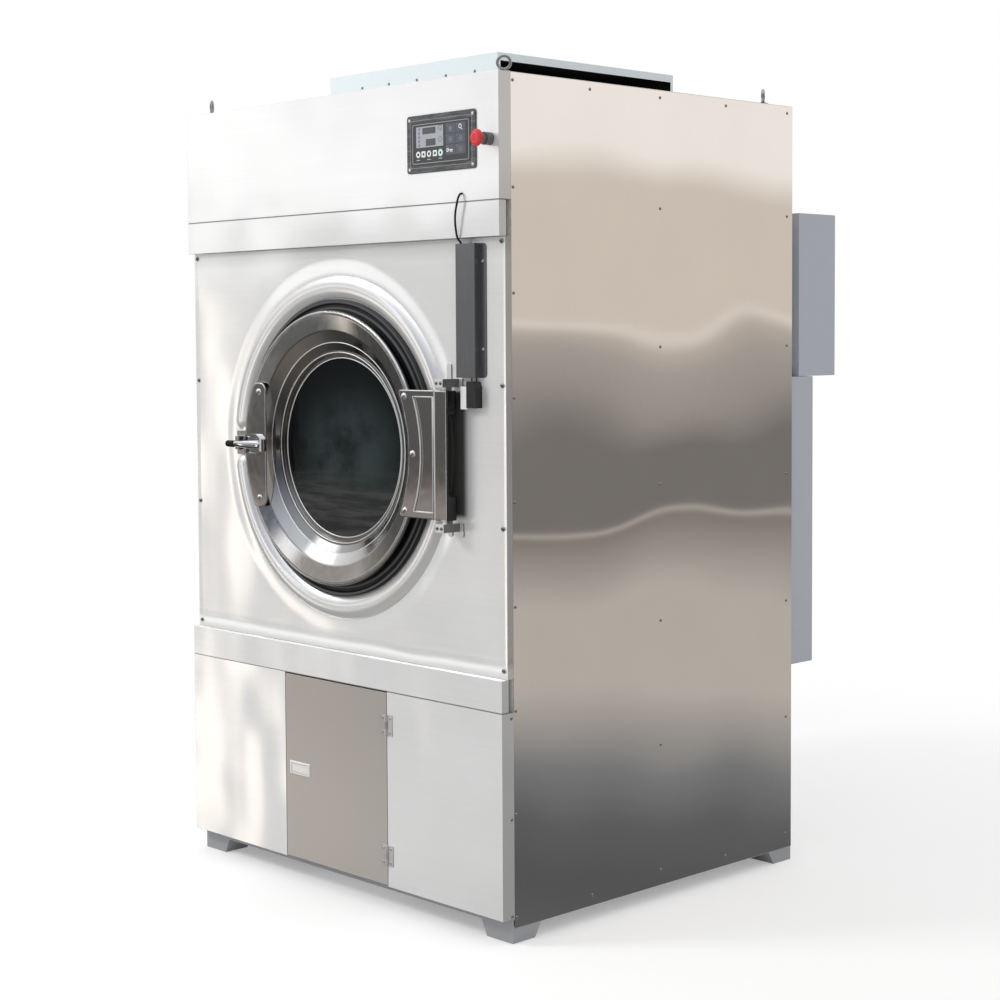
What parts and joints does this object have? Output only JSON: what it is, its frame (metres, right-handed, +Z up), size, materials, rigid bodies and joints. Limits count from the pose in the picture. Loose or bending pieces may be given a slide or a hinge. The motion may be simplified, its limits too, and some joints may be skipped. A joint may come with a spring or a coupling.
{
  "type": "industrial tumble dryer",
  "caption": "Free-standing industrial tumble dryer: steel cabinet, round glazed loading door, lint hatch, roof intake hood, rear drive guard and control box.",
  "frame": {"origin": "on the floor, under the middle of the machine's outer box", "axes": "+X to the right seen from the front, +Y towards the back, +Z up"},
  "size_m": [1.254, 1.3624, 2.16],
  "materials": {
    "stainless_front": "bright brushed stainless sheet",
    "stainless_side": "brushed stainless sheet",
    "lint_door_steel": "brushed stainless sheet, darker",
    "polished_steel": "polished stainless",
    "chrome_trim": "polished chrome",
    "wire_cover_steel": "dull brushed stainless",
    "frame_paint": "blue-grey enamel",
    "galvanised": "plain galvanised sheet",
    "drum_steel": "plain stainless sheet",
    "cast_parts": "machined casting",
    "motor_paint": "motor enamel",
    "black_rubber": "black rubber",
    "dark_glass": "dark tinted door glass",
    "dark_plastic": "black moulded plastic",
    "overlay_film": "printed membrane film",
    "grey_plastic": "grey moulded plastic",
    "red_plastic": "red moulded plastic",
    "white_metal": "white coated sheet"
  },
  "bodies": {
    "cabinet": {"upper_front_panel": "stainless_front", "upper_band": "stainless_front", "door_panel": "stainless_front", "door_bead": "stainless_front", "lower_band": "stainless_front", "lower_left_panel": "stainless_front", "lower_right_panel": "stainless_front", "side_panel_left": "stainless_side", "side_panel_right": "stainless_side", "rear_panel": "stainless_side", "top_panel": "stainless_side", "intake_hood": "stainless_side", "hinge_blocks": "polished_steel", "latch_strike": "polished_steel", "lint_hinge_leaves": "polished_steel", "lifting_eyes": "polished_steel", "wire_cover": "wire_cover_steel", "base_rails": "frame_paint", "feet": "frame_paint", "corner_posts": "frame_paint", "rear_beam": "frame_paint", "belt_guard": "frame_paint", "electrical_box": "frame_paint", "heater_bank": "galvanised", "drum_housing": "galvanised", "throat_ring": "galvanised", "fan_housing": "galvanised", "exhaust_spigot": "galvanised", "lint_duct": "galvanised", "lint_screen": "galvanised", "bearing_housings": "cast_parts", "gearmotor": "motor_paint", "fan_motor": "motor_paint", "door_gasket": "black_rubber", "drive_belts": "black_rubber", "door_cable": "black_rubber", "control_bezel": "dark_plastic", "door_switch": "dark_plastic", "control_overlay": "overlay_film", "estop_collar": "grey_plastic", "switch_bracket": "white_metal"},
    "door": {"door_ring": "polished_steel", "door_glass": "dark_glass", "glass_seal": "black_rubber", "hinge_plate": "polished_steel", "door_bolts": "polished_steel", "latch_plate": "polished_steel", "latch_base": "chrome_trim"},
    "handle": {"handle_lever": "chrome_trim"},
    "estop_plunger": {"estop_stem": "grey_plastic"},
    "estop_mushroom": {"estop_head": "red_plastic"},
    "lint_hatch": {"lint_door": "lint_door_steel", "latch_bezel": "polished_steel"},
    "lint_latch": {"latch_paddle": "polished_steel"},
    "drum": {"drum_shell": "drum_steel", "drum_lifters": "drum_steel", "drum_spider": "drum_steel", "drum_pulley": "cast_parts"},
    "drive_pulley": {"motor_pulley": "cast_parts"},
    "fan": {"fan_wheel": "galvanised"}
  },
  "joints": [
    {"name": "door_swing", "type": "hinge", "parent": "cabinet", "child": "door", "pos_m": [0.452, -0.64175, 1.161], "axis": [0, 0, 1], "range_deg": [0, 150]},
    {"name": "handle_pull", "type": "hinge", "parent": "door", "child": "handle", "pos_m": [-0.25, -0.66575, 1.16], "axis": [0, 0, 1], "range_deg": [0, 35]},
    {"name": "estop_push", "type": "slide", "parent": "cabinet", "child": "estop_plunger", "axis": [0, 1, 0], "range_m": [0, 0.005], "stiffness_N_per_m": 900},
    {"name": "estop_twist", "type": "hinge", "parent": "estop_plunger", "child": "estop_mushroom", "pos_m": [0.597, -0.67125, 1.904], "axis": [0, 1, 0], "range_deg": [0, 45], "stiffness_Nm_per_rad": 0.05},
    {"name": "lint_swing", "type": "hinge", "parent": "cabinet", "child": "lint_hatch", "pos_m": [0.2085, -0.63525, 0.306], "axis": [0, 0, 1], "range_deg": [0, 160]},
    {"name": "lint_latch_pull", "type": "hinge", "parent": "lint_hatch", "child": "lint_latch", "pos_m": [-0.147, -0.63025, 0.3129], "axis": [-1, 0, 0], "range_deg": [0, 35]},
    {"name": "drum_spin", "type": "hinge", "parent": "cabinet", "child": "drum", "pos_m": [0, 0.22625, 1.16], "axis": [0, 1, 0], "continuous": true},
    {"name": "drive_pulley_spin", "type": "hinge", "parent": "cabinet", "child": "drive_pulley", "pos_m": [0.4, 0.46825, 0.66], "axis": [0, 1, 0], "continuous": true},
    {"name": "fan_spin", "type": "hinge", "parent": "cabinet", "child": "fan", "pos_m": [0, 0.15, 0.3], "axis": [0, 1, 0], "continuous": true}
  ],
  "couplings": [
    {"joint": "drive_pulley_spin", "follows": "drum_spin", "ratio": 3}
  ]
}
